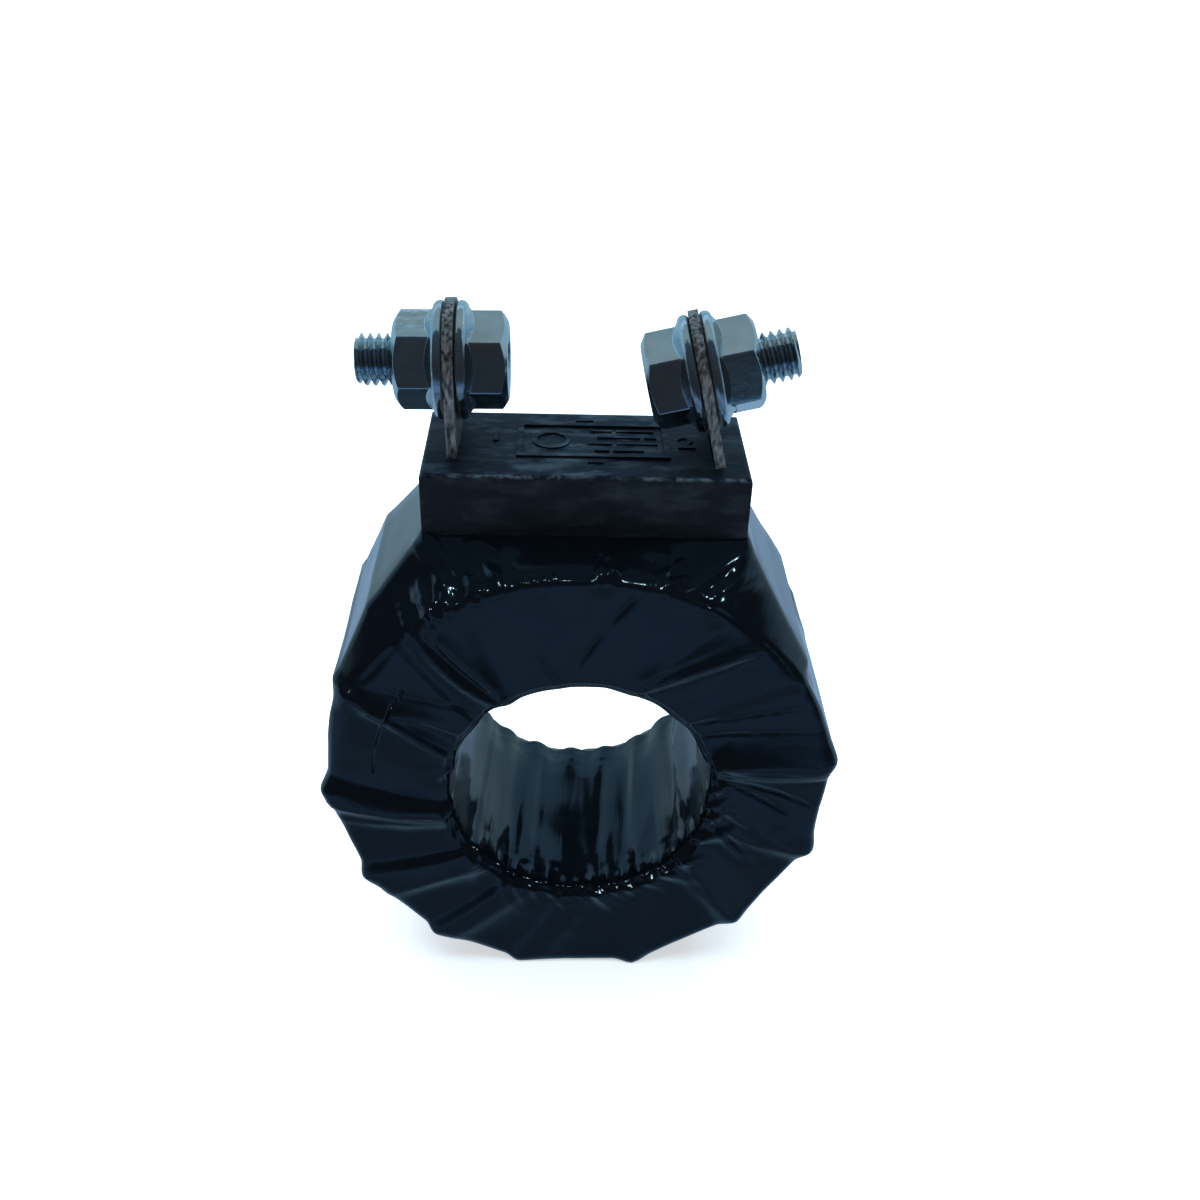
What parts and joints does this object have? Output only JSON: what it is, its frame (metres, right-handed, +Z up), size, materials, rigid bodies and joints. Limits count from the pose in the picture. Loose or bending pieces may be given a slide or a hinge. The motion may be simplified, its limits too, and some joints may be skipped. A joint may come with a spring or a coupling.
{
  "type": "current transformer",
  "caption": "Window-type current transformer: a toroidal core and winding wrapped in black tape, with a moulded terminal block and screw terminals on top.",
  "frame": {"origin": "centre of the window, on its axis, midway through the ring's width", "axes": "+Z up through the terminal block, Y along the window's axis with the front face towards -Y, X along the block"},
  "size_m": [0.0664, 0.0327, 0.0907],
  "materials": {
    "core_steel": "bare rolled silicon steel strip",
    "pressboard": "pressboard",
    "crepe_paper": "crepe paper",
    "copper_wire": "enamelled copper wire",
    "film": "polyester film",
    "pvc_tape": "glossy black PVC tape",
    "block_plastic": "moulded, lightly grained",
    "tab_steel": "sheared sheet, dull",
    "zinc_plate": "bright blue zinc plate",
    "sleeve": "varnished glass braid",
    "solder": "tin solder"
  },
  "bodies": {
    "root": {"wound_core": "core_steel", "end_ring_front": "pressboard", "end_ring_rear": "pressboard", "core_wrap": "crepe_paper", "secondary_winding": "copper_wire", "winding_film": "film", "tape_wrap": "pvc_tape", "terminal_block": "block_plastic", "tab_left": "tab_steel", "bolt_left": "zinc_plate", "nut_left": "zinc_plate", "lead_left": "copper_wire", "sleeve_left": "sleeve", "solder_left": "solder", "tab_right": "tab_steel", "bolt_right": "zinc_plate", "nut_right": "zinc_plate", "lead_right": "copper_wire", "sleeve_right": "sleeve", "solder_right": "solder"}
  },
  "joints": []
}
